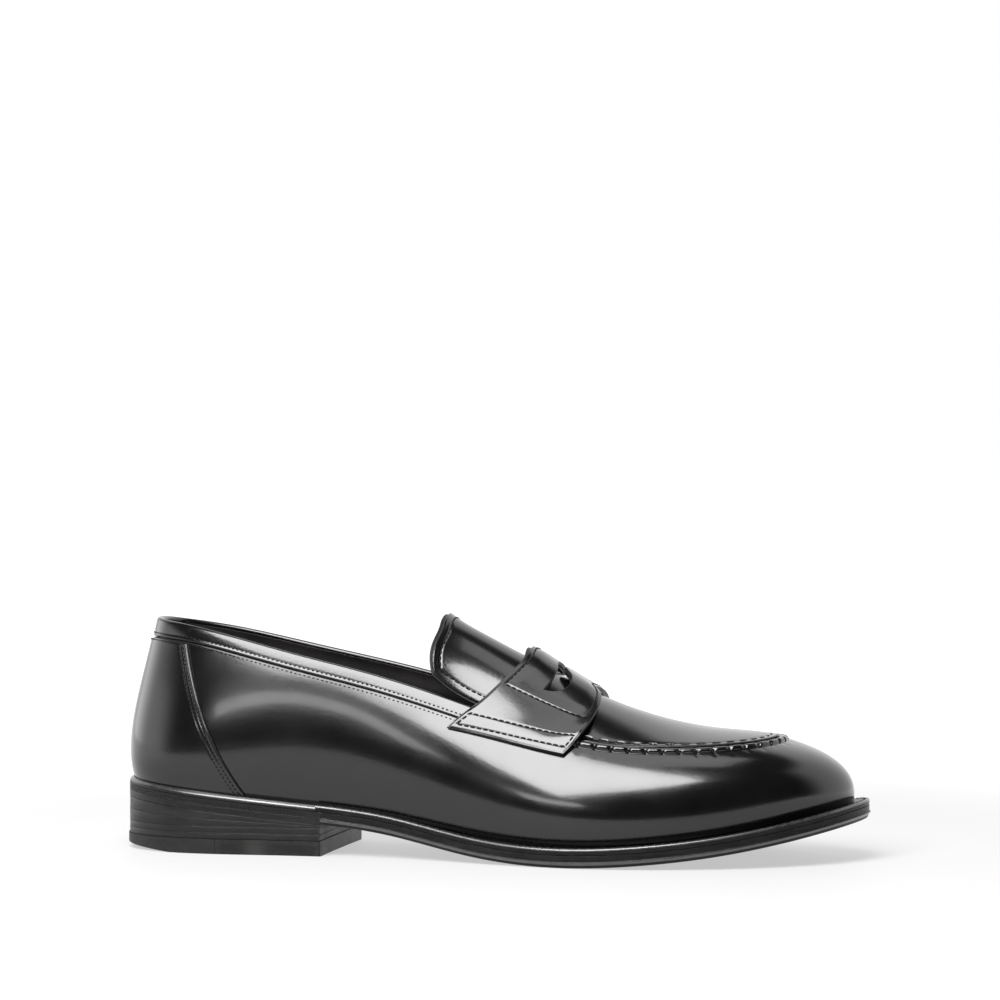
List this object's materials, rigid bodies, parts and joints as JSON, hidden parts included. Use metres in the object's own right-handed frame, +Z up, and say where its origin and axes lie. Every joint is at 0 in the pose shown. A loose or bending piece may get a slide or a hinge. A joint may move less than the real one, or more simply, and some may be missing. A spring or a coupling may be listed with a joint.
{
  "type": "penny loafer",
  "caption": "Black leather penny loafer, right shoe: round toe, sewn-in apron, saddle strap with a penny slot, lifting tongue, welted sole and stacked heel.",
  "frame": {"origin": "centre of the shoe's overall length and width, on the floor under the heel and the ball", "axes": "+X from heel to toe, +Y to the inner (medial) side of this right shoe, +Z up"},
  "size_m": [0.3052, 0.1082, 0.0964],
  "materials": {
    "upper_leather": "high-gloss polished black calf",
    "lining_leather": "matt dark brown-black",
    "sock_leather": "matt dark brown",
    "insole_leather": "matt natural",
    "sole_leather": "black edge dressing, satin",
    "heel_rubber": "matt",
    "stiffener": "matt leatherboard",
    "canvas": "woven",
    "cork": "granular",
    "foam": "matt foam",
    "steel": "bare",
    "brass": "bright pin ends",
    "waxed_thread": "waxed"
  },
  "bodies": {
    "shoe": {"vamp": "upper_leather", "vamp_margin": "upper_leather", "heel_foxing": "upper_leather", "collar_band": "upper_leather", "apron": "upper_leather", "saddle_strap": "upper_leather", "strap_backing": "upper_leather", "vamp_lining": "lining_leather", "quarter_lining": "lining_leather", "apron_lining": "lining_leather", "sock_liner": "sock_leather", "insole": "insole_leather", "outsole": "sole_leather", "welt": "sole_leather", "heel_rand": "sole_leather", "heel_lift_1": "sole_leather", "heel_lift_2": "sole_leather", "heel_lift_3": "sole_leather", "heel_lift_4": "sole_leather", "top_piece_leather": "sole_leather", "top_piece_rubber": "heel_rubber", "heel_counter": "stiffener", "toe_puff": "stiffener", "side_stays": "stiffener", "insole_rib": "canvas", "cork_filler": "cork", "heel_pad": "foam", "steel_shank": "steel", "heel_nails": "steel", "top_piece_pins": "brass", "welt_thread": "waxed_thread", "apron_thread": "waxed_thread"},
    "tongue": {"tongue": "upper_leather", "tongue_lining": "lining_leather"}
  },
  "joints": [
    {"name": "tongue_lift", "type": "hinge", "parent": "shoe", "child": "tongue", "pos_m": [0.01751, 0.00187, 0.078], "axis": [0, 1, 0], "range_deg": [0, 30], "stiffness_Nm_per_rad": 0.05}
  ]
}
